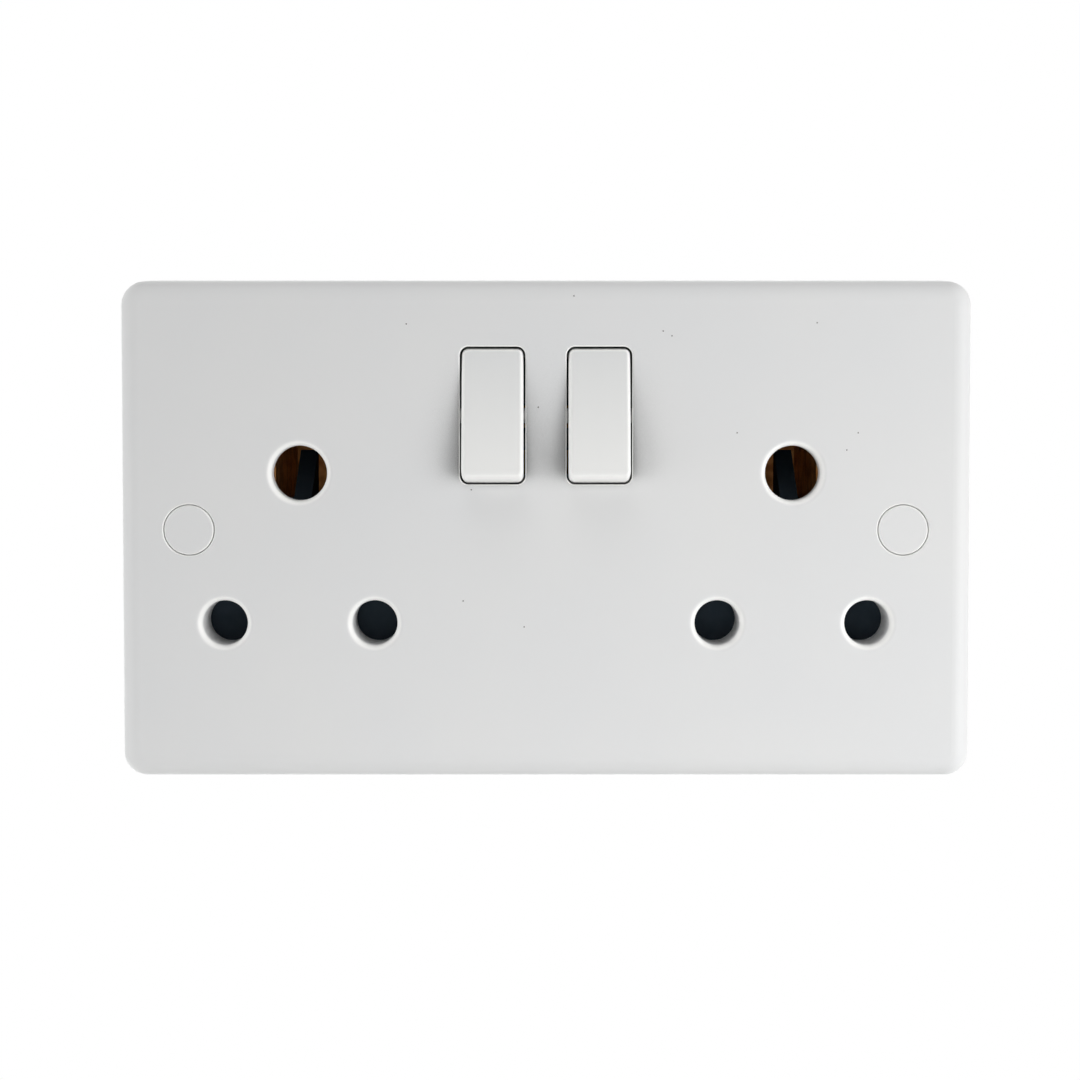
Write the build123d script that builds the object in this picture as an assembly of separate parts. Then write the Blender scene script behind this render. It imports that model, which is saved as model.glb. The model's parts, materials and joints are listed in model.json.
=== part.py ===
from build123d import *
import os
from math import atan2, cos, hypot, radians, sin, sqrt

# Switched double socket for round-pin plugs, on a two-gang wall plate
#
# Lengths are in millimetres. X points right and Z points up, as seen from the room, and Y
# points into the wall. The origin is the centre of the plate on the wall's surface. The
# switches are modelled in their off position, with the lower end of each rocker standing out.

# Front plate
PLATE_WIDTH = 145.5
PLATE_HEIGHT = 85.5
PLATE_DEPTH = 9.0
PLATE_CORNER_R = 4.7
PLATE_EDGE_R = 3.5
PLATE_DRAFT = 6.0
FACE_WALL = 3.0
RIM_WALL = 2.4
FACE_Y = -PLATE_DEPTH
FACE_BACK_Y = FACE_Y + FACE_WALL
OPENING_EDGE_R = 0.3
GUSSET_XS = (-45.0, -15.0, 15.0, 45.0)
GUSSET_WALL = 1.2
GUSSET_END_Y = -2.4

# Outlets, each with a live and a neutral hole and an earth hole above them
OUTLET_SPACING = 83.4
OUTLET_XS = (-OUTLET_SPACING / 2, OUTLET_SPACING / 2)
PIN_SPACING = 25.4
PIN_Z = -15.8
EARTH_RISE = 25.4
EARTH_Z = PIN_Z + EARTH_RISE
PIN_R = 3.53
PIN_LENGTH = 18.6
PIN_HOLE_R = 3.8
PIN_SLEEVE_R = 5.3
PIN_SLEEVE_END_Y = -1.2
EARTH_PIN_R = 4.35
EARTH_PIN_LENGTH = 28.6
PIN_END_GAP = 0.2
EARTH_HOLE_R = 4.65
MOUTH_R = 1.2

# Fixing holes under snap-in caps
FIXING_SPACING = 120.6
FIXING_HOLE_R = 2.1
FIXING_HEAD_R = 3.7
FIXING_BOSS_R = 5.7
FIXING_SHOULDER = 3.5
CAP_R = 4.2
CAP_THICKNESS = 1.0
CAP_LIP = 0.6
CAP_GAP = 0.12

# Rocker switches
ROCKER_SPACING = 18.0
ROCKER_Z = 19.3
ROCKER_WIDTH = 10.4
ROCKER_END_R = 11.45
ROCKER_GAP = 0.35
ROCKER_SIDE_GAP = 0.32
ROCKER_CORNER_R = 1.1
ROCKER_EDGE_R = 0.8
ROCKER_PROUD = 1.5
ROCKER_WALL = 1.3
ROCKER_RIB = 1.0
ROCKER_DEPTH = 7.0
ROCKER_TILT = 8.0
PIVOT_Y = -6.5
TRUNNION_R = 1.3
TRUNNION_LENGTH = 1.5
TRUNNION_GAP = 0.06
SNAP_SLOT = 2.2
COLLAR_WALL = 1.6
COLLAR_END_Y = -1.8

# Plunger in each rocker
PLUNGER_R = 2.0
PLUNGER_GAP = 0.05
PLUNGER_NOSE_R = 1.2
PLUNGER_LENGTH = 9.0
GUIDE_WALL = 1.0
GUIDE_END = 6.0
TIP_REACH = 11.5
SPRING_WIRE_R = 0.22
SPRING_PITCH = 1.4

# Rocking contact of each switch
CONTACT_PIVOT_REACH = 14.0
CONTACT_RATIO = 0.8
CONTACT_WIDTH = 5.0
CONTACT_ARM = 8.6
CONTACT_THICKNESS = 1.0
CONTACT_SEAT_GAP = 0.06
SADDLE_HALF = 2.6
SILVER_R = 1.5
SILVER_THICKNESS = 0.8
SILVER_REACH = 7.1
SILVER_GAP = 0.08
POST_R = 0.6

# Metalwork, in layers one behind another
SHEET = 1.0
BAR_WIDTH = 4.0
LAYER_GAP = 1.4
STRAP_Y = FACE_Y + PIN_LENGTH + SHEET
NEUTRAL_BAR_Y = STRAP_Y + SHEET + LAYER_GAP
NEUTRAL_BAR_Z = -7.5
LIVE_BAR_Y = NEUTRAL_BAR_Y + SHEET + LAYER_GAP
LIVE_SHEET = 2 * POST_R
LEAF = 0.8
LEAF_GAP = 4.3
LEAF_HALF_HEIGHT = 5.0
LEAF_MOUTH_Y = FACE_BACK_Y + 0.3
LEAF_FLARE = 0.1
EARTH_BAR_Y = FACE_Y + EARTH_PIN_LENGTH + PIN_END_GAP + LEAF
EARTH_BAR_WIDTH = 7.0
STRAP_DROP_Z = -4.0
TUBE_WALL = 0.6
TUBE_MOUTH_Y = 1.5
TUBE_SLIT = 0.8
TUBE_SLIT_LENGTH = 6.0

# Tray behind the plate
TRAY_MARGIN = 8.1
TRAY_WIDTH = OUTLET_SPACING + PIN_SPACING + 2 * TRAY_MARGIN
TRAY_HEIGHT = 68.0
TRAY_CORNER_R = 3.0
TRAY_EDGE_R = 1.0
TRAY_WALL = 2.0
TRAY_FLOOR_Y = EARTH_BAR_Y + SHEET
TRAY_BACK_Y = TRAY_FLOOR_Y + TRAY_WALL
TRAY_GAP = 0.3
LUG_NOTCH_HALF = 6.7
STEP_CLEARANCE = 0.8
STEP_CORNER_R = 2.0
STEP_FLOOR_GAP = 1.6
STEP_RIB = 1.2
STEP_RIB_GAP = 1.0
POCKET_WALL = 1.4
POCKET_GAP = 0.2
POCKET_MOUTH_Y = 1.0
PILLAR_HALF = 1.6

# Screws that hold the tray to the plate
UPPER_SCREW_INSET = 6.5
LOWER_SCREW_GAP = 0.2
TRAY_SCREW_R = 1.35
TRAY_SCREW_HEAD_R = 2.7
TRAY_SCREW_HEAD = 1.9
TRAY_SCREW_LENGTH = 11.5
TRAY_SCREW_GAP = 0.05
WELL_R = 3.2
WELL_WALL = 0.9
WELL_SEAT = 3.0
BOSS_R = 3.1
BOSS_END_Y = 4.0

# Terminals in a recess at the bottom of the tray
TERMINAL_SPACING = 11.5
TERMINAL_WIDTH = 8.5
TERMINAL_TOP_Z = -17.0
TERMINAL_HEIGHT = 9.0
TERMINAL_Y = NEUTRAL_BAR_Y - SHEET
TERMINAL_DEPTH = 9.0
WIRE_HOLE_R = 2.5
WIRE_HOLE_DEPTH = 7.0
WIRE_HOLE_SET_BACK = 3.2
CLAMP_SCREW_R = 1.95
CLAMP_SCREW_GAP = 0.05
CLAMP_SCREW_LENGTH = 5.4
CLAMP_SLOT = 0.8
RECESS_WALL = 1.5
RECESS_TOP_GAP = 0.6

# Shutters
SHUTTER_Y = -0.9
SHUTTER_THICKNESS = 1.6
SHUTTER_OVERLAP = 4.2
SHUTTER_TRAVEL = 8.2
SHUTTER_ARM_HALF = 3.0
RAMP_HALF = 1.5
RAMP_FRONT_Y = FACE_BACK_Y + 1.2
RAMP_BACK_Y = 5.2
RAMP_FLAT = 1.0
RAMP_FOOT_Z = EARTH_Z - 6.2
RAMP_LIP = 1.4
RAIL_WALL = 1.2
RAIL_GAP = 0.3
RETURN_SPRING_R = 1.5
RETURN_SPRING_PITCH = 3.0
SPIGOT_R = 0.8
SPIGOT_LENGTH = 2.2
SLOT_HALF = 2.3


def room_plane(y):
    """The plane at depth y, drawn as seen from the room."""
    return Plane(origin=(0, y, 0), x_dir=(1, 0, 0), z_dir=(0, -1, 0))


def between(sketch, y_front, y_back, taper=0):
    """A solid with the sketch's outline, from one depth to another."""
    return extrude(room_plane(y_back) * sketch, amount=y_back - y_front, taper=taper)


def disc(x, z, r, y_front, y_back):
    return between(Pos(x, z) * Circle(r), y_front, y_back)


def block(x_range, y_range, z_range):
    width = x_range[1] - x_range[0]
    height = z_range[1] - z_range[0]
    middle = Pos(sum(x_range) / 2, sum(z_range) / 2)
    return between(middle * Rectangle(width, height), y_range[0], y_range[1])


def profile(sketch, x, width):
    """A solid with a side profile, drawn in Y and Z, centred on x."""
    return extrude(Plane.YZ.offset(x) * sketch, amount=width / 2, both=True)


def edges_at(part, y, x, z, r):
    """The circular edges of one radius at a depth, centred on a point."""
    rings = part.edges().filter_by(GeomType.CIRCLE)
    return rings.filter_by(
        lambda e: abs(e.radius - r) < 1e-3
        and hypot(e.arc_center.X - x, e.arc_center.Z - z) < 1e-3
        and abs(e.arc_center.Y - y) < 1e-3
    )


def live_x(outlet_x):
    return outlet_x + PIN_SPACING / 2


def neutral_x(outlet_x):
    return outlet_x - PIN_SPACING / 2


def pin_xs():
    return [x for outlet_x in OUTLET_XS for x in (neutral_x(outlet_x), live_x(outlet_x))]


def rocker_xs():
    return (-ROCKER_SPACING / 2, ROCKER_SPACING / 2)


def lower_screw_x():
    return recess_half_width() + WELL_R + WELL_WALL + LOWER_SCREW_GAP


def tray_screw_places():
    inset = TRAY_WALL + BOSS_R + TRAY_GAP
    z = TRAY_HEIGHT / 2 - inset
    upper_x = TRAY_WIDTH / 2 - UPPER_SCREW_INSET
    lower_x = lower_screw_x()
    return [(-upper_x, z), (upper_x, z), (-lower_x, -z), (lower_x, -z)]


# Switch geometry about the rocker's pivot


def rocker_envelope(x, width, end_r, corner_r, front, back):
    """The rocker's block form in its middle position, with ends round about the pivot."""
    def end_z(y):
        return sqrt(end_r**2 - y**2)

    top_front = (front, end_z(front))
    top_back = (back, end_z(back))
    middle = (front + back) / 2
    outline = [
        Line(top_front, (front, -end_z(front))),
        ThreePointArc((front, -end_z(front)), (middle, -end_z(middle)), (back, -end_z(back))),
        Line((back, -end_z(back)), top_back),
        ThreePointArc(top_back, (middle, end_z(middle)), top_front),
    ]
    solid = profile(Pos(PIVOT_Y, ROCKER_Z) * make_face(outline), x, width)
    ends = solid.edges().filter_by(GeomType.CIRCLE)
    return fillet(ends, corner_r)


def rocker_front():
    """How far the rocker's face is in front of its pivot, in the middle position."""
    return FACE_Y - ROCKER_PROUD - PIVOT_Y


def tilted(solid, x):
    """Turns a rocker's piece from the middle position to off."""
    pivot = Pos(x, PIVOT_Y, ROCKER_Z)
    return pivot * Rot(-ROCKER_TILT, 0, 0) * pivot.inverse() * solid


def contact_pivot_y():
    return PIVOT_Y + CONTACT_PIVOT_REACH


def tip_path_end():
    """The plunger tip's place in the rocking contact's frame, at the end of the travel."""
    turn = radians(ROCKER_TILT)
    y = TIP_REACH * cos(turn) - CONTACT_PIVOT_REACH
    z = TIP_REACH * sin(turn)
    angle = atan2(z, -y) - CONTACT_RATIO * turn
    reach = hypot(y, z)
    return -reach * cos(angle), reach * sin(angle)


def saddle_radius():
    """The radius of the trough that the plunger's tip runs in."""
    y, z = tip_path_end()
    sag = TIP_REACH - CONTACT_PIVOT_REACH - y
    path_r = (z**2 + sag**2) / (2 * sag)
    return path_r + PLUNGER_NOSE_R + CONTACT_SEAT_GAP


def silver_face_y():
    """The depth of the fixed silver face that the moving tip meets when on."""
    turn = radians(ROCKER_TILT * CONTACT_RATIO)
    outer = SILVER_REACH + SILVER_R
    return contact_pivot_y() + SILVER_THICKNESS * cos(turn) + outer * sin(turn) + SILVER_GAP


def silver_z():
    """The height at which the moving tip meets the fixed one."""
    turn = radians(ROCKER_TILT * CONTACT_RATIO)
    return ROCKER_Z + SILVER_REACH * cos(turn) - SILVER_THICKNESS * sin(turn)


# Front plate


def plate_shell():
    outline = RectangleRounded(PLATE_WIDTH, PLATE_HEIGHT, PLATE_CORNER_R)
    shell = between(outline, FACE_Y, 0, taper=PLATE_DRAFT)
    shell = fillet(shell.faces().sort_by(Axis.Y)[0].edges(), PLATE_EDGE_R)
    inner_width = PLATE_WIDTH - 2 * RIM_WALL
    inner_height = PLATE_HEIGHT - 2 * RIM_WALL
    inner = RectangleRounded(inner_width, inner_height, PLATE_CORNER_R - RIM_WALL)
    return shell - between(inner, FACE_BACK_Y, 0, taper=PLATE_DRAFT)


def window_width():
    return ROCKER_WIDTH + 2 * ROCKER_SIDE_GAP


def collar_width():
    return window_width() + 2 * COLLAR_WALL


def switch_collar(x):
    """The frame behind a switch window, which bears the rocker's trunnions."""
    height = 2 * (ROCKER_END_R + ROCKER_GAP + COLLAR_WALL)
    outline = RectangleRounded(collar_width(), height, ROCKER_CORNER_R + COLLAR_WALL)
    return between(Pos(x, ROCKER_Z) * outline, FACE_BACK_Y, COLLAR_END_Y)


def switch_window(x):
    front = FACE_Y - PIVOT_Y - 1
    back = COLLAR_END_Y - PIVOT_Y + 1
    end_r = ROCKER_END_R + ROCKER_GAP
    return rocker_envelope(x, window_width(), end_r, ROCKER_CORNER_R + ROCKER_GAP, front, back)


def trunnion_bearing(x):
    """The round holes in a collar's two sides, with the slots that the trunnions snap in by."""
    width = collar_width()
    hole = profile(Pos(PIVOT_Y, ROCKER_Z) * Circle(TRUNNION_R + TRUNNION_GAP), x, width)
    slot = block((x - width / 2, x + width / 2), (PIVOT_Y, COLLAR_END_Y),
                 (ROCKER_Z - SNAP_SLOT / 2, ROCKER_Z + SNAP_SLOT / 2))
    return hole + slot


def shutter_rails(outlet_x):
    """Two ribs behind the plate that guide a shutter's sides."""
    side = PIN_SPACING / 2 + SHUTTER_OVERLAP + RAIL_GAP
    top = PIN_Z + SHUTTER_OVERLAP
    bottom = PIN_Z - SHUTTER_OVERLAP - SHUTTER_TRAVEL
    back = SHUTTER_Y + SHUTTER_THICKNESS
    rails = []
    for inner, outer in ((side, side + RAIL_WALL), (-side - RAIL_WALL, -side)):
        rails.append(block((outlet_x + inner, outlet_x + outer), (FACE_BACK_Y, back), (bottom, top)))
    return rails


def gussets():
    """Short ribs behind the face, from the rim to the place of the tray."""
    inner = TRAY_HEIGHT / 2 + TRAY_GAP
    outer = PLATE_HEIGHT / 2 - RIM_WALL
    ribs = []
    for x in GUSSET_XS:
        for z_range in ((inner, outer), (-outer, -inner)):
            ribs.append(block((x - GUSSET_WALL / 2, x + GUSSET_WALL / 2), (FACE_BACK_Y, GUSSET_END_Y),
                              z_range))
    return ribs


def front_wires(plate):
    """The outlines of the openings in the plate's face."""
    return plate.faces().sort_by(Axis.Y)[0].inner_wires()


def is_mouth(wire):
    """Whether an opening in the face is a pin's hole, whose edge is rounded more."""
    middle = wire.bounding_box().center()
    pins = [(x, PIN_Z) for x in pin_xs()] + [(x, EARTH_Z) for x in OUTLET_XS]
    return any(hypot(middle.X - x, middle.Z - z) < 1e-3 for x, z in pins)


def front_plate():
    plate = plate_shell()
    for x in rocker_xs():
        plate += switch_collar(x)
    for x in pin_xs():
        plate += disc(x, PIN_Z, PIN_SLEEVE_R, FACE_BACK_Y, PIN_SLEEVE_END_Y)
    for x in (-FIXING_SPACING / 2, FIXING_SPACING / 2):
        plate += disc(x, 0, FIXING_BOSS_R, FACE_BACK_Y, 0)
    for x, z in tray_screw_places():
        plate += disc(x, z, BOSS_R, FACE_BACK_Y, BOSS_END_Y)
    for outlet_x in OUTLET_XS:
        plate += shutter_rails(outlet_x)
    plate += gussets()

    for x in rocker_xs():
        plate -= switch_window(x)
        plate -= trunnion_bearing(x)
    for x in pin_xs():
        plate -= disc(x, PIN_Z, PIN_HOLE_R, FACE_Y, PIN_SLEEVE_END_Y)
    for x in OUTLET_XS:
        plate -= disc(x, EARTH_Z, EARTH_HOLE_R, FACE_Y, FACE_BACK_Y)
    for x in (-FIXING_SPACING / 2, FIXING_SPACING / 2):
        plate -= disc(x, 0, CAP_R + CAP_GAP, FACE_Y, FACE_Y + CAP_THICKNESS)
        plate -= disc(x, 0, FIXING_HEAD_R, FACE_Y, -FIXING_SHOULDER)
        plate -= disc(x, 0, FIXING_HOLE_R, FACE_Y, 0)
    pilot_end = BOSS_END_Y + WELL_SEAT - TRAY_SCREW_LENGTH - 0.5
    for x, z in tray_screw_places():
        plate -= disc(x, z, TRAY_SCREW_R + TRAY_SCREW_GAP, pilot_end, BOSS_END_Y)

    mouths = [edges_at(plate, FACE_Y, x, PIN_Z, PIN_HOLE_R) for x in pin_xs()]
    mouths += [edges_at(plate, FACE_Y, x, EARTH_Z, EARTH_HOLE_R) for x in OUTLET_XS]
    plate = fillet([edge for rings in mouths for edge in rings], MOUTH_R)
    sharp = [wire for wire in front_wires(plate) if not is_mouth(wire)]
    return fillet([edge for wire in sharp for edge in wire.edges()], OPENING_EDGE_R)


def screw_cap(side):
    """A snap-in cover with a ring behind it that grips the screw's hole."""
    x = side * FIXING_SPACING / 2
    cap = disc(x, 0, CAP_R, FACE_Y, FACE_Y + CAP_THICKNESS)
    cap = fillet(edges_at(cap, FACE_Y, x, 0, CAP_R), 0.3)
    ring_r = FIXING_HEAD_R - CAP_GAP
    ring_end = FACE_Y + CAP_THICKNESS + 1.6
    cap += disc(x, 0, ring_r, FACE_Y + CAP_THICKNESS, ring_end)
    return cap - disc(x, 0, ring_r - CAP_LIP, FACE_Y + CAP_THICKNESS, ring_end)


# Rocker and its plunger


def rocker(x):
    front = rocker_front()
    back = front + ROCKER_DEPTH
    body = rocker_envelope(x, ROCKER_WIDTH, ROCKER_END_R, ROCKER_CORNER_R, front, back)
    body = fillet(body.faces().sort_by(Axis.Y)[0].edges(), ROCKER_EDGE_R)
    hollow = rocker_envelope(x, ROCKER_WIDTH - 2 * ROCKER_WALL, ROCKER_END_R - ROCKER_WALL,
                             ROCKER_CORNER_R / 2, front + ROCKER_WALL, back)
    body -= hollow
    guide_r = PLUNGER_R + PLUNGER_GAP + GUIDE_WALL
    body += disc(x, ROCKER_Z, guide_r, PIVOT_Y + front + ROCKER_WALL, PIVOT_Y + GUIDE_END)
    half = ROCKER_WIDTH / 2 - ROCKER_WALL
    body += block((x - half, x + half), (PIVOT_Y + front + ROCKER_WALL, PIVOT_Y + back),
                  (ROCKER_Z - ROCKER_RIB / 2, ROCKER_Z + ROCKER_RIB / 2))
    body -= disc(x, ROCKER_Z, PLUNGER_R + PLUNGER_GAP, PIVOT_Y + front + ROCKER_WALL,
                 PIVOT_Y + GUIDE_END)
    pin = Pos(PIVOT_Y, ROCKER_Z) * Circle(TRUNNION_R)
    outer = ROCKER_WIDTH / 2 + TRUNNION_LENGTH
    inner = ROCKER_WIDTH / 2 - ROCKER_WALL
    for side in (-1, 1):
        body += profile(pin, x + side * (outer + inner) / 2, outer - inner)
    return tilted(body, x)


def plunger_back():
    return TIP_REACH - PLUNGER_LENGTH


def plunger(x):
    """A sprung pin with a round nose, drawn as half its section and revolved."""
    back = plunger_back()
    shoulder = GUIDE_END + 1.0
    tip = TIP_REACH + PLUNGER_NOSE_R
    outline = [
        Line((0, back), (PLUNGER_R, back)),
        Line((PLUNGER_R, back), (PLUNGER_R, shoulder)),
        Line((PLUNGER_R, shoulder), (PLUNGER_NOSE_R, shoulder + 1.2)),
        Line((PLUNGER_NOSE_R, shoulder + 1.2), (PLUNGER_NOSE_R, TIP_REACH)),
        RadiusArc((PLUNGER_NOSE_R, TIP_REACH), (0, tip), -PLUNGER_NOSE_R),
        Line((0, tip), (0, back)),
    ]
    pin = revolve(make_face(outline), Axis.Y)
    return tilted(Pos(x, PIVOT_Y, ROCKER_Z) * pin, x)


def coil_spring(start, direction, coil_r, pitch, length):
    """A helical wire along a direction, from a start point."""
    height = length - 2 * SPRING_WIRE_R
    first = Vector(*start) + Vector(*direction) * SPRING_WIRE_R
    helix = Helix(pitch, height, coil_r, center=first, direction=direction)
    section = Plane(helix @ 0, z_dir=helix % 0) * Circle(SPRING_WIRE_R)
    return sweep(section, path=helix, is_frenet=True)


def plunger_spring(x):
    start = rocker_front() + ROCKER_WALL
    coil_r = PLUNGER_R - SPRING_WIRE_R - 0.1
    spring = coil_spring((x, PIVOT_Y + start, ROCKER_Z), (0, 1, 0), coil_r, SPRING_PITCH,
                         plunger_back() - start)
    return tilted(spring, x)


# Rocking contact


def on_contact(solid, x):
    """Turns a rocking contact's piece from the middle position to off."""
    pivot = Pos(x, contact_pivot_y(), ROCKER_Z)
    return pivot * Rot(ROCKER_TILT * CONTACT_RATIO, 0, 0) * pivot.inverse() * solid


def moving_contact(x):
    """A pressed strip with a trough for the plunger, which rocks on the live post."""
    trough_y = TIP_REACH - CONTACT_PIVOT_REACH + PLUNGER_NOSE_R + CONTACT_SEAT_GAP
    r = saddle_radius()
    rim_y = trough_y - r + sqrt(r**2 - SADDLE_HALF**2)
    arm_start = SADDLE_HALF + 1.2
    outline = [
        ThreePointArc((rim_y, -SADDLE_HALF), (trough_y, 0), (rim_y, SADDLE_HALF)),
        Line((rim_y, SADDLE_HALF), (-CONTACT_THICKNESS, arm_start)),
        Line((-CONTACT_THICKNESS, arm_start), (-CONTACT_THICKNESS, CONTACT_ARM)),
        Line((-CONTACT_THICKNESS, CONTACT_ARM), (0, CONTACT_ARM)),
        Line((0, CONTACT_ARM), (0, -CONTACT_ARM)),
        Line((0, -CONTACT_ARM), (-CONTACT_THICKNESS, -CONTACT_ARM)),
        Line((-CONTACT_THICKNESS, -CONTACT_ARM), (-CONTACT_THICKNESS, -arm_start)),
        Line((-CONTACT_THICKNESS, -arm_start), (rim_y, -SADDLE_HALF)),
    ]
    place = Pos(contact_pivot_y(), ROCKER_Z)
    strip = profile(place * make_face(outline), x, CONTACT_WIDTH)
    strip -= profile(place * Circle(POST_R + CONTACT_SEAT_GAP), x, CONTACT_WIDTH)
    return on_contact(strip, x)


def moving_tip(x):
    """The silver button on the strip's upper end."""
    button = disc(x, ROCKER_Z + SILVER_REACH, SILVER_R, contact_pivot_y(),
                  contact_pivot_y() + SILVER_THICKNESS)
    return on_contact(button, x)


def fixed_tip(x):
    """The silver button on the strap that feeds an outlet."""
    return disc(x, silver_z(), SILVER_R, silver_face_y(), STRAP_Y)


# Metalwork behind the plate


def strip_path(points, y, thickness=SHEET, width=BAR_WIDTH):
    """A flat conductor that follows points, with square ends."""
    return between(trace(Polyline(*points), width), y, y + thickness)


def pin_tube(x, back_y):
    """A slit tube that grips a round pin, closed behind by the strip that carries it."""
    outer_r = PIN_R + TUBE_WALL
    tube = disc(x, PIN_Z, outer_r, TUBE_MOUTH_Y, back_y)
    tube -= disc(x, PIN_Z, PIN_R, TUBE_MOUTH_Y, back_y - SHEET)
    half = TUBE_SLIT / 2
    slit = block((x - outer_r, x + outer_r), (TUBE_MOUTH_Y, TUBE_MOUTH_Y + TUBE_SLIT_LENGTH),
                 (PIN_Z - half, PIN_Z + half))
    return tube - slit


def live_contact(side):
    """An outlet's live tube with the strap that leads to its switch."""
    x = live_x(side * OUTLET_SPACING / 2)
    switch_x = side * ROCKER_SPACING / 2
    top_z = silver_z()
    if side < 0:
        points = [(switch_x, top_z), (x, top_z), (x, PIN_Z)]
    else:
        inner_x = neutral_x(side * OUTLET_SPACING / 2)
        middle_x = side * OUTLET_SPACING / 2
        points = [(switch_x, top_z), (inner_x, top_z), (inner_x, STRAP_DROP_Z),
                  (middle_x, STRAP_DROP_Z), (middle_x, PIN_Z), (x, PIN_Z)]
    strap = strip_path(points, STRAP_Y)
    end_pads = disc(x, PIN_Z, PIN_R + TUBE_WALL, STRAP_Y, STRAP_Y + SHEET)
    end_pads += disc(switch_x, top_z, BAR_WIDTH / 2, STRAP_Y, STRAP_Y + SHEET)
    return strap + end_pads + pin_tube(x, STRAP_Y)


def neutral_contact(side):
    return pin_tube(neutral_x(side * OUTLET_SPACING / 2), NEUTRAL_BAR_Y)


def neutral_bar():
    left_x, right_x = (neutral_x(outlet_x) for outlet_x in OUTLET_XS)
    left_drop_x = OUTLET_XS[0]
    across = [(left_x, PIN_Z), (left_drop_x, PIN_Z), (left_drop_x, NEUTRAL_BAR_Z),
              (right_x, NEUTRAL_BAR_Z), (right_x, PIN_Z)]
    bar = strip_path(across, NEUTRAL_BAR_Y)
    for x in (left_x, right_x):
        bar += disc(x, PIN_Z, PIN_R + TUBE_WALL, NEUTRAL_BAR_Y, NEUTRAL_BAR_Y + SHEET)
    tab = [(TERMINAL_SPACING, NEUTRAL_BAR_Z), (TERMINAL_SPACING, TERMINAL_TOP_Z)]
    return bar + strip_path(tab, NEUTRAL_BAR_Y)


def live_bar():
    """The bar from the live terminal to both switches, with a bent-up post for each."""
    left_x, right_x = rocker_xs()
    half = CONTACT_WIDTH / 2
    bar = block((-TERMINAL_SPACING - BAR_WIDTH / 2, right_x + half),
                (LIVE_BAR_Y, LIVE_BAR_Y + LIVE_SHEET),
                (ROCKER_Z - BAR_WIDTH / 2, ROCKER_Z + BAR_WIDTH / 2))
    tab = [(-TERMINAL_SPACING, ROCKER_Z), (-TERMINAL_SPACING, TERMINAL_TOP_Z)]
    bar += strip_path(tab, LIVE_BAR_Y, thickness=LIVE_SHEET)
    for x in (left_x, right_x):
        bar += block((x - half, x + half), (contact_pivot_y(), LIVE_BAR_Y),
                     (ROCKER_Z - POST_R, ROCKER_Z + POST_R))
        bar += profile(Pos(contact_pivot_y(), ROCKER_Z) * Circle(POST_R), x, CONTACT_WIDTH)
    return bar


def earth_bar():
    """The bar that joins both earth contacts, with a tab stepped forward to its terminal."""
    reach = OUTLET_SPACING / 2 + LEAF_GAP + LEAF
    half = EARTH_BAR_WIDTH / 2
    tab_half = BAR_WIDTH / 2
    tab_y = TERMINAL_Y + TERMINAL_DEPTH / 2
    step_z = TERMINAL_TOP_Z + RECESS_TOP_GAP + RECESS_WALL + 1.2
    bar = block((-reach, reach), (EARTH_BAR_Y, TRAY_FLOOR_Y), (EARTH_Z - half, EARTH_Z + half))
    bar += block((-tab_half, tab_half), (EARTH_BAR_Y, TRAY_FLOOR_Y), (step_z, EARTH_Z))
    bar += block((-tab_half, tab_half), (tab_y, TRAY_FLOOR_Y), (step_z, step_z + SHEET))
    return bar + block((-tab_half, tab_half), (tab_y, tab_y + SHEET),
                       (TERMINAL_TOP_Z, step_z + SHEET))


def earth_contact(side):
    """Two sprung leaves folded up from one strip, which grip the earth pin."""
    x = side * OUTLET_SPACING / 2
    reach = LEAF_GAP + LEAF / 2
    lead_y = LEAF_MOUTH_Y + 2.0
    base_y = EARTH_BAR_Y - LEAF / 2
    points = [(x - reach - LEAF_FLARE, LEAF_MOUTH_Y), (x - reach, lead_y), (x - reach, base_y),
              (x + reach, base_y), (x + reach, lead_y), (x + reach + LEAF_FLARE, LEAF_MOUTH_Y)]
    clip = Plane.XY.offset(EARTH_Z) * trace(Polyline(*points), LEAF)
    return extrude(clip, amount=LEAF_HALF_HEIGHT, both=True)


# Terminals


def terminal(x):
    """A brass block with a blind wire hole from below and a clamping screw from behind."""
    half = TERMINAL_WIDTH / 2
    bottom = TERMINAL_TOP_Z - TERMINAL_HEIGHT
    body = block((x - half, x + half), (TERMINAL_Y, TERMINAL_Y + TERMINAL_DEPTH),
                 (bottom, TERMINAL_TOP_Z))
    body = chamfer(body.edges().filter_by(Axis.Z), 0.6)
    hole_y = TERMINAL_Y + WIRE_HOLE_SET_BACK
    wire_hole = extrude(Plane.XY.offset(bottom) * Pos(x, hole_y) * Circle(WIRE_HOLE_R),
                        amount=WIRE_HOLE_DEPTH)
    screw_z = bottom + TERMINAL_HEIGHT / 2
    return body - wire_hole - disc(x, screw_z, CLAMP_SCREW_R + CLAMP_SCREW_GAP, hole_y,
                                   TERMINAL_Y + TERMINAL_DEPTH)


def clamp_screw(x):
    """A slotted screw, drawn back clear of the wire hole."""
    z = TERMINAL_TOP_Z - TERMINAL_HEIGHT / 2
    tip = TERMINAL_Y + WIRE_HOLE_SET_BACK + WIRE_HOLE_R + 0.2
    tail = tip + CLAMP_SCREW_LENGTH
    screw = disc(x, z, CLAMP_SCREW_R, tip, tail)
    screw = chamfer(edges_at(screw, tip, x, z, CLAMP_SCREW_R), 0.4)
    slot = block((x - CLAMP_SCREW_R, x + CLAMP_SCREW_R), (tail - 1.2, tail),
                 (z - CLAMP_SLOT / 2, z + CLAMP_SLOT / 2))
    return screw - slot


# Shutters


def ramp_top_z():
    """The ramp's top, which the whole travel takes below the earth pin."""
    return EARTH_Z - EARTH_PIN_R + SHUTTER_TRAVEL - 0.1


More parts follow.
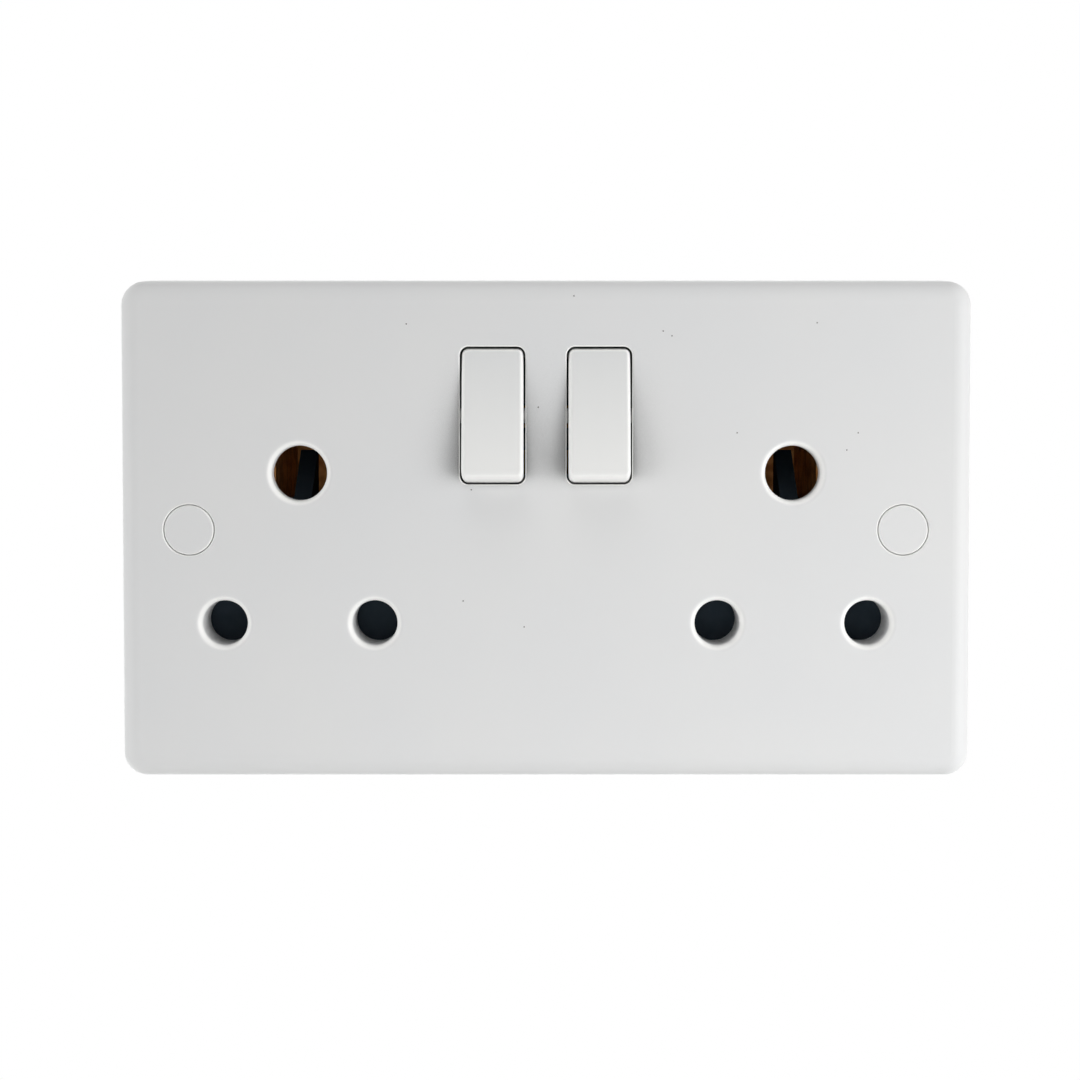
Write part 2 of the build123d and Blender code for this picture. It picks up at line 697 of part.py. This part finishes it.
def shutter(side):
    """A plate across both pin holes, with an arm up to a ramp that the earth pin pushes down."""
    x = side * OUTLET_SPACING / 2
    half = PIN_SPACING / 2 + SHUTTER_OVERLAP
    back = SHUTTER_Y + SHUTTER_THICKNESS
    top = PIN_Z + SHUTTER_OVERLAP
    bottom = PIN_Z - SHUTTER_OVERLAP
    plate = block((x - half, x + half), (SHUTTER_Y, back), (bottom, top))
    plate = fillet(plate.edges().filter_by(Axis.Y), 0.8)
    seat_z = PIN_Z + SHUTTER_OVERLAP / 2
    plate -= block((x - SLOT_HALF, x + SLOT_HALF), (SHUTTER_Y, back), (bottom, seat_z))
    plate += spigot(x, seat_z, -1)
    arm = block((x - SHUTTER_ARM_HALF, x + SHUTTER_ARM_HALF), (SHUTTER_Y, back),
                (top, RAMP_FOOT_Z))
    ramp_z = ramp_top_z()
    rear_y = RAMP_BACK_Y - RAMP_FLAT
    rise = ramp_z - RAMP_FOOT_Z - RAMP_LIP
    outline = Polyline((RAMP_FRONT_Y, RAMP_FOOT_Z), (RAMP_FRONT_Y, RAMP_FOOT_Z + RAMP_LIP),
                       (rear_y, RAMP_FOOT_Z + RAMP_LIP + rise), (RAMP_BACK_Y, ramp_z),
                       (RAMP_BACK_Y, RAMP_FOOT_Z), close=True)
    return plate + arm + profile(make_face(outline), x, 2 * RAMP_HALF)


def spigot(x, z, direction):
    """A short peg that centres an end of the shutter's spring."""
    y = SHUTTER_Y + SHUTTER_THICKNESS / 2
    foot = Plane.XY.offset(z) * Pos(x, y) * Circle(SPIGOT_R)
    return extrude(foot, amount=direction * SPIGOT_LENGTH)


def tray_inner_bottom():
    return -TRAY_HEIGHT / 2 + TRAY_WALL


def shutter_spring(side):
    x = side * OUTLET_SPACING / 2
    y = SHUTTER_Y + SHUTTER_THICKNESS / 2
    bottom = tray_inner_bottom()
    length = PIN_Z + SHUTTER_OVERLAP / 2 - bottom
    return coil_spring((x, y, bottom), (0, 0, 1), RETURN_SPRING_R, RETURN_SPRING_PITCH, length)


# Rear moulding


def tray_outline():
    """The tray's outline, notched where the wall box has its screw lugs."""
    outline = RectangleRounded(TRAY_WIDTH, TRAY_HEIGHT, TRAY_CORNER_R)
    notch = Rectangle(TRAY_WIDTH, 2 * LUG_NOTCH_HALF)
    notch_x = FIXING_SPACING / 2 - FIXING_BOSS_R - TRAY_GAP
    for side in (-1, 1):
        outline -= Pos(side * (notch_x + TRAY_WIDTH / 2), 0) * notch
    return outline


def collar_relief():
    """The notch in the tray's top wall that clears the two switch collars."""
    half = ROCKER_SPACING / 2 + collar_width() / 2 + TRAY_GAP
    return block((-half, half), (FACE_BACK_Y, COLLAR_END_Y + TRAY_GAP),
                 (ROCKER_Z, TRAY_HEIGHT / 2))


def recess_half_width():
    return TERMINAL_SPACING + TERMINAL_WIDTH / 2 + 1.0


def terminal_recess(grow):
    """The space for the terminals, open behind and below, grown by a wall for its outside."""
    half = recess_half_width() + grow
    top = TERMINAL_TOP_Z + RECESS_TOP_GAP + grow
    return block((-half, half), (TERMINAL_Y - grow, TRAY_BACK_Y), (-TRAY_HEIGHT / 2, top))


def pocket_inner_half():
    return PIN_R + TUBE_WALL + POCKET_GAP


def pocket_outer_half():
    return pocket_inner_half() + POCKET_WALL


def step_floor_y():
    """The inner face of the tray's shallow corners, just behind the neutral contacts."""
    return NEUTRAL_BAR_Y + SHEET + STEP_FLOOR_GAP


def step_space(side, shrink, y_front, y_back):
    """A lower corner of the tray, where it is shallower than behind the earth contacts."""
    inner_x = lower_screw_x() + WELL_R + WELL_WALL + STEP_CLEARANCE + shrink
    top = -LUG_NOTCH_HALF - shrink
    width = TRAY_WIDTH / 2 - inner_x
    height = TRAY_HEIGHT / 2 + top
    outline = Pos(side * (inner_x + width / 2), top - height / 2) * Rectangle(width, height)
    solid = between(outline, y_front, y_back)
    corner = solid.edges().filter_by(Axis.Y).sort_by(lambda e: abs(e.center().X) - e.center().Z)[0]
    return fillet(corner, STEP_CORNER_R)


def step_ribs(side):
    """Sloping ribs that stiffen a shallow corner, one behind each pin."""
    outlet_x = side * OUTLET_SPACING / 2
    floor = step_floor_y() + TRAY_WALL
    top = -LUG_NOTCH_HALF
    bottom = -TRAY_HEIGHT / 2 + TRAY_EDGE_R
    slope = make_face(Polyline((floor, bottom), (floor, top), (TRAY_BACK_Y - STEP_RIB_GAP, top),
                               close=True))
    return [profile(slope, x, STEP_RIB) for x in (neutral_x(outlet_x), live_x(outlet_x))]


def pocket(x, slot_side, strip_back_y):
    """Four walls round a pin contact, with a slot for the strip that leaves it."""
    inner = pocket_inner_half()
    outer = pocket_outer_half()
    walls = block((x - outer, x + outer), (POCKET_MOUTH_Y, TRAY_FLOOR_Y),
                  (PIN_Z - outer, PIN_Z + outer))
    walls -= block((x - inner, x + inner), (POCKET_MOUTH_Y, strip_back_y),
                   (PIN_Z - inner, PIN_Z + inner))
    half = BAR_WIDTH / 2 + 0.2
    if slot_side == 0:
        return walls - block((x - half, x + half), (POCKET_MOUTH_Y, strip_back_y),
                             (PIN_Z, PIN_Z + outer))
    reach = sorted((x, x + slot_side * outer))
    return walls - block(reach, (POCKET_MOUTH_Y, strip_back_y), (PIN_Z - half, PIN_Z + half))


def pillar(x, z, y_front):
    """A post from the tray's floor that carries a strip."""
    half = PILLAR_HALF
    return block((x - half, x + half), (y_front, TRAY_FLOOR_Y), (z - half, z + half))


def rear_moulding():
    tray = between(tray_outline(), FACE_BACK_Y, TRAY_BACK_Y)
    tray = fillet(tray.faces().sort_by(Axis.Y)[-1].edges(), TRAY_EDGE_R)
    cavity = between(offset(tray_outline(), -TRAY_WALL), FACE_BACK_Y, TRAY_FLOOR_Y)
    tray -= cavity - terminal_recess(RECESS_WALL)
    tray -= collar_relief()
    tray -= terminal_recess(0)
    for x in (-TERMINAL_SPACING / 2, TERMINAL_SPACING / 2):
        tray += block((x - RECESS_WALL / 2, x + RECESS_WALL / 2), (TERMINAL_Y, TRAY_BACK_Y),
                      (-TRAY_HEIGHT / 2, TERMINAL_TOP_Z + RECESS_TOP_GAP))
    tray -= tab_slots()

    for outlet_x, live_slot, neutral_slot in ((OUTLET_XS[0], 0, 1), (OUTLET_XS[1], -1, 0)):
        tray += pocket(live_x(outlet_x), live_slot, STRAP_Y + SHEET)
        tray += pocket(neutral_x(outlet_x), neutral_slot, NEUTRAL_BAR_Y + SHEET)
    well_outer = WELL_R + WELL_WALL
    for x, z in tray_screw_places():
        tray += disc(x, z, well_outer, BOSS_END_Y, TRAY_BACK_Y)
        tray -= disc(x, z, WELL_R, BOSS_END_Y + WELL_SEAT, TRAY_BACK_Y)
        tray -= disc(x, z, TRAY_SCREW_R + 0.3, BOSS_END_Y, TRAY_BACK_Y)
    for x, z, y_front in strip_supports():
        tray += pillar(x, z, y_front)
    for side in (-1, 1):
        outer_y = step_floor_y() + TRAY_WALL
        inside = step_space(side, -TRAY_WALL, step_floor_y(), TRAY_BACK_Y)
        tray += inside & between(offset(tray_outline(), -TRAY_WALL / 2), step_floor_y(), TRAY_BACK_Y)
        tray -= step_space(side, 0, outer_y, TRAY_BACK_Y)
        tray += step_ribs(side)
    for x in OUTLET_XS:
        tray += spigot(x, tray_inner_bottom(), 1)
    return tray


def tab_slots():
    """Slots in the recess's top wall for the three terminal tabs."""
    half = BAR_WIDTH / 2 + 0.2
    z_range = (TERMINAL_TOP_Z + RECESS_TOP_GAP - 0.1, TERMINAL_TOP_Z + RECESS_TOP_GAP + RECESS_WALL)
    depths = {
        -TERMINAL_SPACING: (LIVE_BAR_Y, LIVE_SHEET),
        0: (TERMINAL_Y + TERMINAL_DEPTH / 2, SHEET),
        TERMINAL_SPACING: (NEUTRAL_BAR_Y, SHEET),
    }
    return [block((x - half, x + half), (y - 0.2, y + thickness + 0.2), z_range)
            for x, (y, thickness) in depths.items()]


def strip_supports():
    """Where posts carry the strips, each with the depth of its seat."""
    strap = STRAP_Y + SHEET
    neutral = NEUTRAL_BAR_Y + SHEET
    live = LIVE_BAR_Y + LIVE_SHEET
    top_z = silver_z()
    left_strap_x = live_x(OUTLET_XS[0])
    right_strap_x = neutral_x(OUTLET_XS[1])
    left_switch_x, right_switch_x = rocker_xs()
    return [
        (left_switch_x, top_z, strap),
        (right_switch_x, top_z, strap),
        (left_strap_x, top_z, strap),
        (right_strap_x, top_z, strap),
        (left_strap_x, 0, strap),
        (OUTLET_XS[1], STRAP_DROP_Z, strap),
        (left_switch_x, ROCKER_Z, live),
        (right_switch_x, ROCKER_Z, live),
        (-TERMINAL_SPACING, 0, live),
        (OUTLET_XS[0], NEUTRAL_BAR_Z, neutral),
        (TERMINAL_SPACING, NEUTRAL_BAR_Z, neutral),
    ]


def tray_screws():
    """The four screws that hold the tray to the plate."""
    seat = BOSS_END_Y + WELL_SEAT
    screws = []
    for x, z in tray_screw_places():
        head = disc(x, z, TRAY_SCREW_HEAD_R, seat, seat + TRAY_SCREW_HEAD)
        head = fillet(edges_at(head, seat + TRAY_SCREW_HEAD, x, z, TRAY_SCREW_HEAD_R), 0.8)
        slot = block((x - TRAY_SCREW_HEAD_R, x + TRAY_SCREW_HEAD_R),
                     (seat + 1.1, seat + TRAY_SCREW_HEAD), (z - 0.4, z + 0.4))
        screws.append(head + disc(x, z, TRAY_SCREW_R, seat - TRAY_SCREW_LENGTH, seat) - slot)
    return Compound(children=screws)


def nodes():
    """Every piece by its name."""
    pieces = {
        "front_plate": front_plate(),
        "rear_moulding": rear_moulding(),
        "tray_screws": tray_screws(),
        "live_bar": live_bar(),
        "neutral_bar": neutral_bar(),
        "earth_bar": earth_bar(),
    }
    for name, side in (("left", -1), ("right", 1)):
        x = side * ROCKER_SPACING / 2
        pieces["rocker_" + name] = rocker(x)
        pieces["plunger_" + name] = plunger(x)
        pieces["plunger_spring_" + name] = plunger_spring(x)
        pieces["moving_contact_" + name] = moving_contact(x)
        pieces["moving_tip_" + name] = moving_tip(x)
        pieces["fixed_tip_" + name] = fixed_tip(x)
        pieces["live_contact_" + name] = live_contact(side)
        pieces["neutral_contact_" + name] = neutral_contact(side)
        pieces["earth_contact_" + name] = earth_contact(side)
        pieces["shutter_" + name] = shutter(side)
        pieces["shutter_spring_" + name] = shutter_spring(side)
        pieces["screw_cap_" + name] = screw_cap(side)
    for name, column in (("live", -1), ("earth", 0), ("neutral", 1)):
        x = column * TERMINAL_SPACING
        pieces[name + "_terminal"] = terminal(x)
        pieces[name + "_clamp_screw"] = clamp_screw(x)
    return pieces


os.makedirs("parts", exist_ok=True)
for node, piece in nodes().items():
    export_step(piece, "parts/" + node + ".step")
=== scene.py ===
import json
import math

import bpy
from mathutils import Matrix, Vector


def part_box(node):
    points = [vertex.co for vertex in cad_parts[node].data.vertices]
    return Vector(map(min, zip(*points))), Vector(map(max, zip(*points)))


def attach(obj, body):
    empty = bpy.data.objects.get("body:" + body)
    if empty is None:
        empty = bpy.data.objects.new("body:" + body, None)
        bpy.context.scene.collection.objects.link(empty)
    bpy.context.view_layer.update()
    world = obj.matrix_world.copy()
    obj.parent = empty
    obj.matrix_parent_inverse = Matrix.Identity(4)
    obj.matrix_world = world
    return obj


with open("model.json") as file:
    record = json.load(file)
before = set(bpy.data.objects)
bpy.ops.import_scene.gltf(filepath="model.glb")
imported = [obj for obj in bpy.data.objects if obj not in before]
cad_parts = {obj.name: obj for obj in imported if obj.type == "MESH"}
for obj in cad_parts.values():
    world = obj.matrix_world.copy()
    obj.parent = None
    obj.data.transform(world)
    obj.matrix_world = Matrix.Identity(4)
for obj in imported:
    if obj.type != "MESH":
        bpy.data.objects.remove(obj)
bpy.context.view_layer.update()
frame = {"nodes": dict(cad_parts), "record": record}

# The switched double socket's looks: materials, small details, light and camera
#
# Places are in the frame's own axes: X right and Z up as seen from the room, and Y into the
# wall. Lengths are in metres, except where a comment says millimetres. Colours are the
# levels from 0 to 255 that a screen shows.

MM = 0.001
PHOTO_SIZE = 1080

# Camera, from the photograph's perspective: its distance from the face and its height above
# the plate's middle in metres, its downward tilt in degrees, and the photograph's scale
CAMERA_DISTANCE = 0.285
CAMERA_HEIGHT = 0.017
CAMERA_TILT = 1.8
PLATE_CENTRE_PIXEL = (546.0, 530.0)
PIXELS_PER_METRE = 5933.0
SENSOR_MM = 36.0
CAMERA_NEAR = 0.01

# Lamps, each with its bearing and height in degrees from the plate's middle, its distance
# and size in metres, and its power in watts
LAMPS = {
    "right_softbox": (66, -2, 0.62, 0.40, 1.15),
    "right_low_lamp": (56, -18, 0.40, 0.25, 0.68),
    "right_high_lamp": (56, 20, 0.50, 0.30, 0.57),
    "left_softbox": (-75, -8, 0.70, 0.40, 3.1),
    "top_softbox": (-30, 78, 0.70, 0.40, 2.5),
    "low_front_lamp": (0, -25, 0.32, 0.20, 0.26),
    "back_right_softbox": (168, 16, 0.80, 0.50, 3.4),
    "back_left_softbox": (-158, 4, 0.80, 0.50, 2.2),
}

# The floor's height and half its width, in metres, and its colour
FLOOR_Z = -0.40
FLOOR_HALF = 0.70
FLOOR_SHADE = (176, 176, 175)

# The floor's glow to the camera below the plate and at its rim, and where it changes, in metres
FLOOR_GLOW = (0.55, 1.0)
FLOOR_FADE = (0.42, 0.66)

# Specks of dust on the face, in millimetres from the middle of the plate
SPECKS = ((-23.5, 34.7), (-12.6, 6.8), (-14.0, -12.0), (-3.7, -16.4), (-1.3, 20.7), (4.7, 39.4),
          (19.7, 33.5), (21.2, 32.7), (45.6, 34.9), (32.2, 16.4), (52.6, 16.4), (50.7, 13.5))
SPECK_R = 0.13
SPECK_LIFT = 0.01
SPECK_CORNERS = 7
SPECK_LOBES = 3
SPECK_UNEVEN = 0.35

FACE_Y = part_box("front_plate")[0][1]

# Painted highlight: rounded edges of the white mouldings are painted paler where the normal's Y is in
# this band, and on the plate only inside these distances from its middle, in millimetres
HIGHLIGHT_FACING = (-0.985, -0.86, -0.25, -0.05)
HIGHLIGHT_LIMIT = (65.5, 36.0)
HIGHLIGHT_FADE = 1.5
PAINTED_EDGE_HIGHLIGHT = (243, 243, 241)

# Painted light: the rockers are painted paler towards their lower ends, between these heights in millimetres
ROCKER_SPAN = (7.8, 30.8)
PAINTED_ROCKER_FOOT_LIGHT = (237, 237, 235)

# The face beside the rockers is shaded in this area across and up the plate, out to this reach,
# in millimetres, and most where the openness is at the first of its two values
SHADE_AREA = ((-23, -18, 18, 23), (6.5, 9.5, 31, 33))
SHADE_REACH = 9.0
SHADE_OPENNESS = (0.5, 1.0)
SHADE_DEPTH = 0.95
SHADE_SAMPLES = 8

# White mouldings: noise cells in a metre of the clouding, the sheen and the ripple, the range
# of roughness, and the ripple's strength and height in metres
CLOUD_SCALE = 45
SHEEN_SCALE = 160
SHEEN_ROUGHNESS = (0.31, 0.37)
WHITE_RIPPLE_SCALE = 420
WHITE_RIPPLE = (0.05, 0.0002)

# Dark mouldings: noise cells in a metre of the mottling, the sheen and the grain, the change of
# roughness either way, and the grain's strength and height in metres
MOTTLE_SCALE = 300
DARK_SHEEN_SCALE = 700
DARK_ROUGHNESS_SPREAD = 0.07
GRAIN_SCALE = 2500
GRAIN = (0.18, 0.00005)

# Metals: noise cells in a metre of the tarnish, how far the drawn grain is squeezed along each
# axis, the change of roughness down and up, and the grain's strength and height in metres
TARNISH_SCALE = 260
DRAWN_SQUEEZE = (1, 1, 14)
METAL_ROUGHNESS_SPREAD = (0.08, 0.1)
DRAWN_RIPPLE = (0.08, 0.00004)


def srgb(*channels):
    """Linear colour from the 0 to 255 levels that a screen shows."""
    def linear(level):
        c = level / 255
        return c / 12.92 if c <= 0.04045 else ((c + 0.055) / 1.055) ** 2.4
    return tuple(linear(level) for level in channels) + (1.0,)


class Shader:
    """A material with short calls for the nodes used here."""

    def __init__(self, name, **sockets):
        self.material = bpy.data.materials.new(name)
        self.material.use_nodes = True
        self.nodes = self.material.node_tree.nodes
        self.links = self.material.node_tree.links
        self.surface = self.nodes["Principled BSDF"]
        for socket, value in sockets.items():
            self.surface.inputs[socket.replace("_", " ")].default_value = value
        where = self.nodes.new("ShaderNodeTexCoord")
        self.coords = where.outputs["Object"]
        self.normal = where.outputs["Normal"]

    def add(self, kind, links=(), **settings):
        node = self.nodes.new("ShaderNode" + kind)
        for key, value in settings.items():
            if hasattr(node, key):
                setattr(node, key, value)
            else:
                node.inputs[key.replace("_", " ")].default_value = value
        for socket, source in dict(links).items():
            self.links.new(source, node.inputs[socket])
        return node

    def noise(self, scale, detail=2.0, roughness=0.5):
        return self.add("TexNoise", {"Vector": self.coords}, Scale=scale, Detail=detail,
                        Roughness=roughness).outputs["Fac"]

    def ramp(self, factor, *stops):
        node = self.add("ValToRGB", {"Fac": factor})
        elements = node.color_ramp.elements
        while len(elements) < len(stops):
            elements.new(0.5)
        for element, (position, colour) in zip(elements, stops):
            element.position = position
            element.color = colour
        return node.outputs["Color"]

    def spread(self, factor, low, high):
        """Maps a noise's middle band to a range of values."""
        return self.add("MapRange", {"Value": factor}, From_Min=0.3, From_Max=0.7, To_Min=low,
                        To_Max=high).outputs["Result"]

    def band(self, value, stops):
        """A mask that rises between the first two stops and falls between the last two."""
        rise = self.add("MapRange", {"Value": value}, From_Min=stops[0], From_Max=stops[1])
        fall = self.add("MapRange", {"Value": value}, From_Min=stops[2], From_Max=stops[3],
                        To_Min=1.0, To_Max=0.0)
        return self.add("Math", {0: rise.outputs["Result"], 1: fall.outputs["Result"]},
                        operation="MULTIPLY").outputs[0]

    def mix(self, factor, first, second):
        node = self.nodes.new("ShaderNodeMix")
        node.data_type = "RGBA"
        self.links.new(factor, node.inputs[0])
        self.links.new(first, node.inputs[6])
        node.inputs[7].default_value = second
        return node.outputs[2]

    def bump(self, height, amount):
        """Raises the surface by a height, with the amount's strength and its distance in metres."""
        node = self.add("Bump", {"Height": height}, Strength=amount[0], Distance=amount[1])
        self.links.new(node.outputs["Normal"], self.surface.inputs["Normal"])

    def drive(self, socket, output):
        self.links.new(output, self.surface.inputs[socket])


def shade_by_rockers(s, body, place):
    """Deepens the shade on the face where the rockers stand out beside it."""
    openness = s.add("AmbientOcclusion", Distance=SHADE_REACH * MM, samples=SHADE_SAMPLES).outputs["AO"]
    dark = s.add("MapRange", {"Value": openness}, From_Min=SHADE_OPENNESS[0],
                 From_Max=SHADE_OPENNESS[1], To_Min=SHADE_DEPTH, To_Max=0.0).outputs["Result"]
    for axis, stops in zip("XZ", SHADE_AREA):
        near = s.band(place.outputs[axis], [stop * MM for stop in stops])
        dark = s.add("Math", {0: dark, 1: near}, operation="MULTIPLY").outputs[0]
    return s.mix(dark, body, (0, 0, 0, 1))


def inside_plate(s, painted_highlight, place):
    """Keeps the painted edge highlights to the holes and windows, away from the plate's own rim."""
    for axis, limit in zip("XZ", HIGHLIGHT_LIMIT):
        offset = s.add("Math", {0: place.outputs[axis]}, operation="ABSOLUTE").outputs[0]
        inside = s.add("MapRange", {"Value": offset}, From_Min=limit * MM,
                       From_Max=(limit + HIGHLIGHT_FADE) * MM, To_Min=1.0, To_Max=0.0)
        painted_highlight = s.add("Math", {0: painted_highlight, 1: inside.outputs["Result"]}, operation="MULTIPLY").outputs[0]
    return painted_highlight


def white_moulding(name, shade, deeper, on_plate=False, painted_foot_light=None):
    """Glossy urea moulding: faint clouding, a very fine ripple and a painted highlight on rounded edges."""
    s = Shader(name, IOR=1.5)
    place = s.add("SeparateXYZ", {"Vector": s.coords})
    body = s.ramp(s.noise(CLOUD_SCALE), (0.0, deeper), (1.0, shade))
    if painted_foot_light:
        # Painted light: the colour fades to a paler one towards the rocker's lower end
        low = s.add("MapRange", {"Value": place.outputs["Z"]}, From_Min=ROCKER_SPAN[0] * MM,
                    From_Max=ROCKER_SPAN[1] * MM, To_Min=1.0, To_Max=0.0)
        body = s.mix(low.outputs["Result"], body, painted_foot_light)
    facing = s.add("SeparateXYZ", {"Vector": s.normal}).outputs["Y"]
    # Painted highlight: edges whose normals turn partly sideways get a paler colour
    painted_highlight = s.band(facing, HIGHLIGHT_FACING)
    if on_plate:
        body = shade_by_rockers(s, body, place)
        painted_highlight = inside_plate(s, painted_highlight, place)
    s.drive("Base Color", s.mix(painted_highlight, body, srgb(*PAINTED_EDGE_HIGHLIGHT)))
    s.drive("Roughness", s.spread(s.noise(SHEEN_SCALE, 3), *SHEEN_ROUGHNESS))
    s.bump(s.noise(WHITE_RIPPLE_SCALE, 3), WHITE_RIPPLE)
    return s.material


def dark_moulding(name, shade, deeper, roughness, specular=0.5):
    """Satin moulding with faint mottling and a fine grain."""
    s = Shader(name, IOR=1.52, Specular_IOR_Level=specular)
    s.drive("Base Color", s.ramp(s.noise(MOTTLE_SCALE, 4), (0.3, deeper), (0.7, shade)))
    s.drive("Roughness", s.spread(s.noise(DARK_SHEEN_SCALE, 3), roughness - DARK_ROUGHNESS_SPREAD,
                                  roughness + DARK_ROUGHNESS_SPREAD))
    s.bump(s.noise(GRAIN_SCALE), GRAIN)
    return s.material


def metal(name, shade, tarnish, roughness, grain):
    """Sheet or turned metal with drawn grain and faint tarnish."""
    s = Shader(name, Metallic=1.0)
    s.drive("Base Color", s.ramp(s.noise(TARNISH_SCALE, 4, 0.6), (0.35, tarnish), (0.6, shade)))
    stretch = s.add("Mapping", {"Vector": s.coords}, Scale=DRAWN_SQUEEZE)
    streaks = s.add("TexNoise", {"Vector": stretch.outputs["Vector"]}, Scale=grain, Detail=3.0)
    smoother, rougher = METAL_ROUGHNESS_SPREAD
    s.drive("Roughness", s.spread(streaks.outputs["Fac"], roughness - smoother, roughness + rougher))
    s.bump(streaks.outputs["Fac"], DRAWN_RIPPLE)
    return s.material


def make_materials():
    face = srgb(224, 224, 223)
    face_deeper = srgb(219, 220, 221)
    return {
        "face_moulding": white_moulding("face_moulding", face, face_deeper, on_plate=True),
        # The switch moulding carries painted light, paler at the rockers' lower ends
        "switch_moulding": white_moulding("switch_moulding", srgb(222, 223, 222), srgb(220, 221, 221),
                                          painted_foot_light=srgb(*PAINTED_ROCKER_FOOT_LIGHT)),
        "cap_moulding": white_moulding("cap_moulding", face, face_deeper),
        "base_moulding": dark_moulding("base_moulding", srgb(30, 30, 32), srgb(22, 22, 24), 0.42),
        "shutter_moulding": dark_moulding("shutter_moulding", srgb(33, 43, 52), srgb(28, 38, 46), 0.7,
                                          specular=0.2),
        "plunger_moulding": dark_moulding("plunger_moulding", srgb(222, 219, 208), srgb(214, 210, 198), 0.4),
        "brass": metal("brass", srgb(204, 152, 96), srgb(156, 106, 60), 0.4, 900),
        "silver": metal("silver", srgb(222, 222, 220), srgb(190, 190, 190), 0.3, 700),
        "plated_steel": metal("plated_steel", srgb(196, 196, 192), srgb(160, 160, 156), 0.34, 900),
        "spring_steel": metal("spring_steel", srgb(170, 170, 170), srgb(130, 130, 132), 0.3, 900),
        "dust": dark_moulding("dust", srgb(96, 92, 88), srgb(80, 76, 72), 0.8),
    }


def dress_nodes(materials):
    """Gives every CAD node the material of its slot in the record."""
    slots = {entry["node"]: entry["material_slot"] for entry in frame["record"]["subparts"]}
    for node, piece in frame["nodes"].items():
        material = materials[slots[node]]
        if not piece.material_slots:
            piece.data.materials.append(material)
        for slot in piece.material_slots:
            slot.material = material


def mesh_piece(name, vertices, faces, material):
    data = bpy.data.meshes.new(name)
    data.from_pydata(vertices, [], faces)
    data.materials.append(material)
    piece = bpy.data.objects.new(name, data)
    bpy.context.collection.objects.link(piece)
    return piece


def face_specks(material):
    """Small uneven flecks that lie on the plate's face."""
    vertices = []
    faces = []
    for index, (x, z) in enumerate(SPECKS):
        first = len(vertices)
        for corner in range(SPECK_CORNERS):
            turn = 2 * math.pi * corner / SPECK_CORNERS
            r = SPECK_R * (1 + SPECK_UNEVEN * math.sin(SPECK_LOBES * turn + index))
            vertices.append(((x + r * math.cos(turn)) * MM, FACE_Y - SPECK_LIFT * MM,
                             (z + r * math.sin(turn)) * MM))
        faces.append(range(first, first + SPECK_CORNERS))
    piece = mesh_piece("face_specks", vertices, faces, material)
    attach(piece, "housing")


def lights():
    """Square soft lamps that face the plate's middle and don't mirror in it."""
    for name, (bearing, height, distance, size, watts) in LAMPS.items():
        lamp = bpy.data.lights.new(name, "AREA")
        lamp.size = size
        lamp.energy = watts
        across = math.radians(bearing)
        up = math.radians(height)
        place = (distance * math.sin(across) * math.cos(up), -distance * math.cos(across) * math.cos(up),
                 distance * math.sin(up))
        piece = bpy.data.objects.new(name, lamp)
        bpy.context.collection.objects.link(piece)
        piece.location = place
        piece.rotation_euler = (-Vector(place)).to_track_quat("-Z", "Y").to_euler()
        piece.visible_glossy = False


def seen_rays(nodes, links):
    """1 for the rays that the camera or a reflection sends out, and 0 for the object's light."""
    path = nodes.new("ShaderNodeLightPath")
    seen = path.outputs["Is Camera Ray"]
    for ray in ("Is Glossy Ray", "Is Transmission Ray"):
        either = nodes.new("ShaderNodeMath")
        either.operation = "MAXIMUM"
        links.new(seen, either.inputs[0])
        links.new(path.outputs[ray], either.inputs[1])
        seen = either.outputs[0]
    return seen


def white_world():
    """A plain white world to the camera and in reflections, which adds no light of its own."""
    world = bpy.data.worlds.new("studio")
    bpy.context.scene.world = world
    world.use_nodes = True
    background = world.node_tree.nodes["Background"]
    background.inputs["Color"].default_value = (1, 1, 1, 1)
    seen = seen_rays(world.node_tree.nodes, world.node_tree.links)
    world.node_tree.links.new(seen, background.inputs["Strength"])


def pale_floor():
    """A floor well below the plate that keeps its shadow and fades into the white world."""
    s = Shader("floor", Roughness=0.8, Base_Color=srgb(*FLOOR_SHADE), Emission_Color=(1, 1, 1, 1))
    away = s.add("VectorMath", {"Vector": s.coords}, operation="LENGTH").outputs["Value"]
    glow = s.add("MapRange", {"Value": away}, From_Min=FLOOR_FADE[0], From_Max=FLOOR_FADE[1],
                 To_Min=FLOOR_GLOW[0], To_Max=FLOOR_GLOW[1]).outputs["Result"]
    seen = s.add("Math", {0: glow, 1: seen_rays(s.nodes, s.links)}, operation="MULTIPLY").outputs[0]
    s.drive("Emission Strength", seen)
    corners = [(FLOOR_HALF * x, FLOOR_HALF * y, FLOOR_Z) for x, y in ((-1, -1), (1, -1), (1, 1), (-1, 1))]
    mesh_piece("floor", corners, [range(4)], s.material)


def camera():
    """The photograph's camera, with the plate's middle on the photograph's pixel."""
    lens_pixels = PIXELS_PER_METRE * CAMERA_DISTANCE
    data = bpy.data.cameras.new("camera")
    data.sensor_width = SENSOR_MM
    data.lens = lens_pixels / PHOTO_SIZE * SENSOR_MM
    data.clip_start = CAMERA_NEAR
    piece = bpy.data.objects.new("camera", data)
    bpy.context.collection.objects.link(piece)
    piece.location = (0, FACE_Y - CAMERA_DISTANCE, CAMERA_HEIGHT)
    piece.rotation_euler = (math.radians(90 - CAMERA_TILT), 0, 0)
    below = math.atan2(CAMERA_HEIGHT, CAMERA_DISTANCE) - math.radians(CAMERA_TILT)
    centre_y = PHOTO_SIZE / 2 + lens_pixels * math.tan(below)
    data.shift_x = -(PLATE_CENTRE_PIXEL[0] - PHOTO_SIZE / 2) / PHOTO_SIZE
    data.shift_y = (PLATE_CENTRE_PIXEL[1] - centre_y) / PHOTO_SIZE
    bpy.context.scene.camera = piece


materials = make_materials()
dress_nodes(materials)
face_specks(materials["dust"])
white_world()
pale_floor()
lights()
camera()
bpy.context.scene.view_settings.view_transform = "Standard"
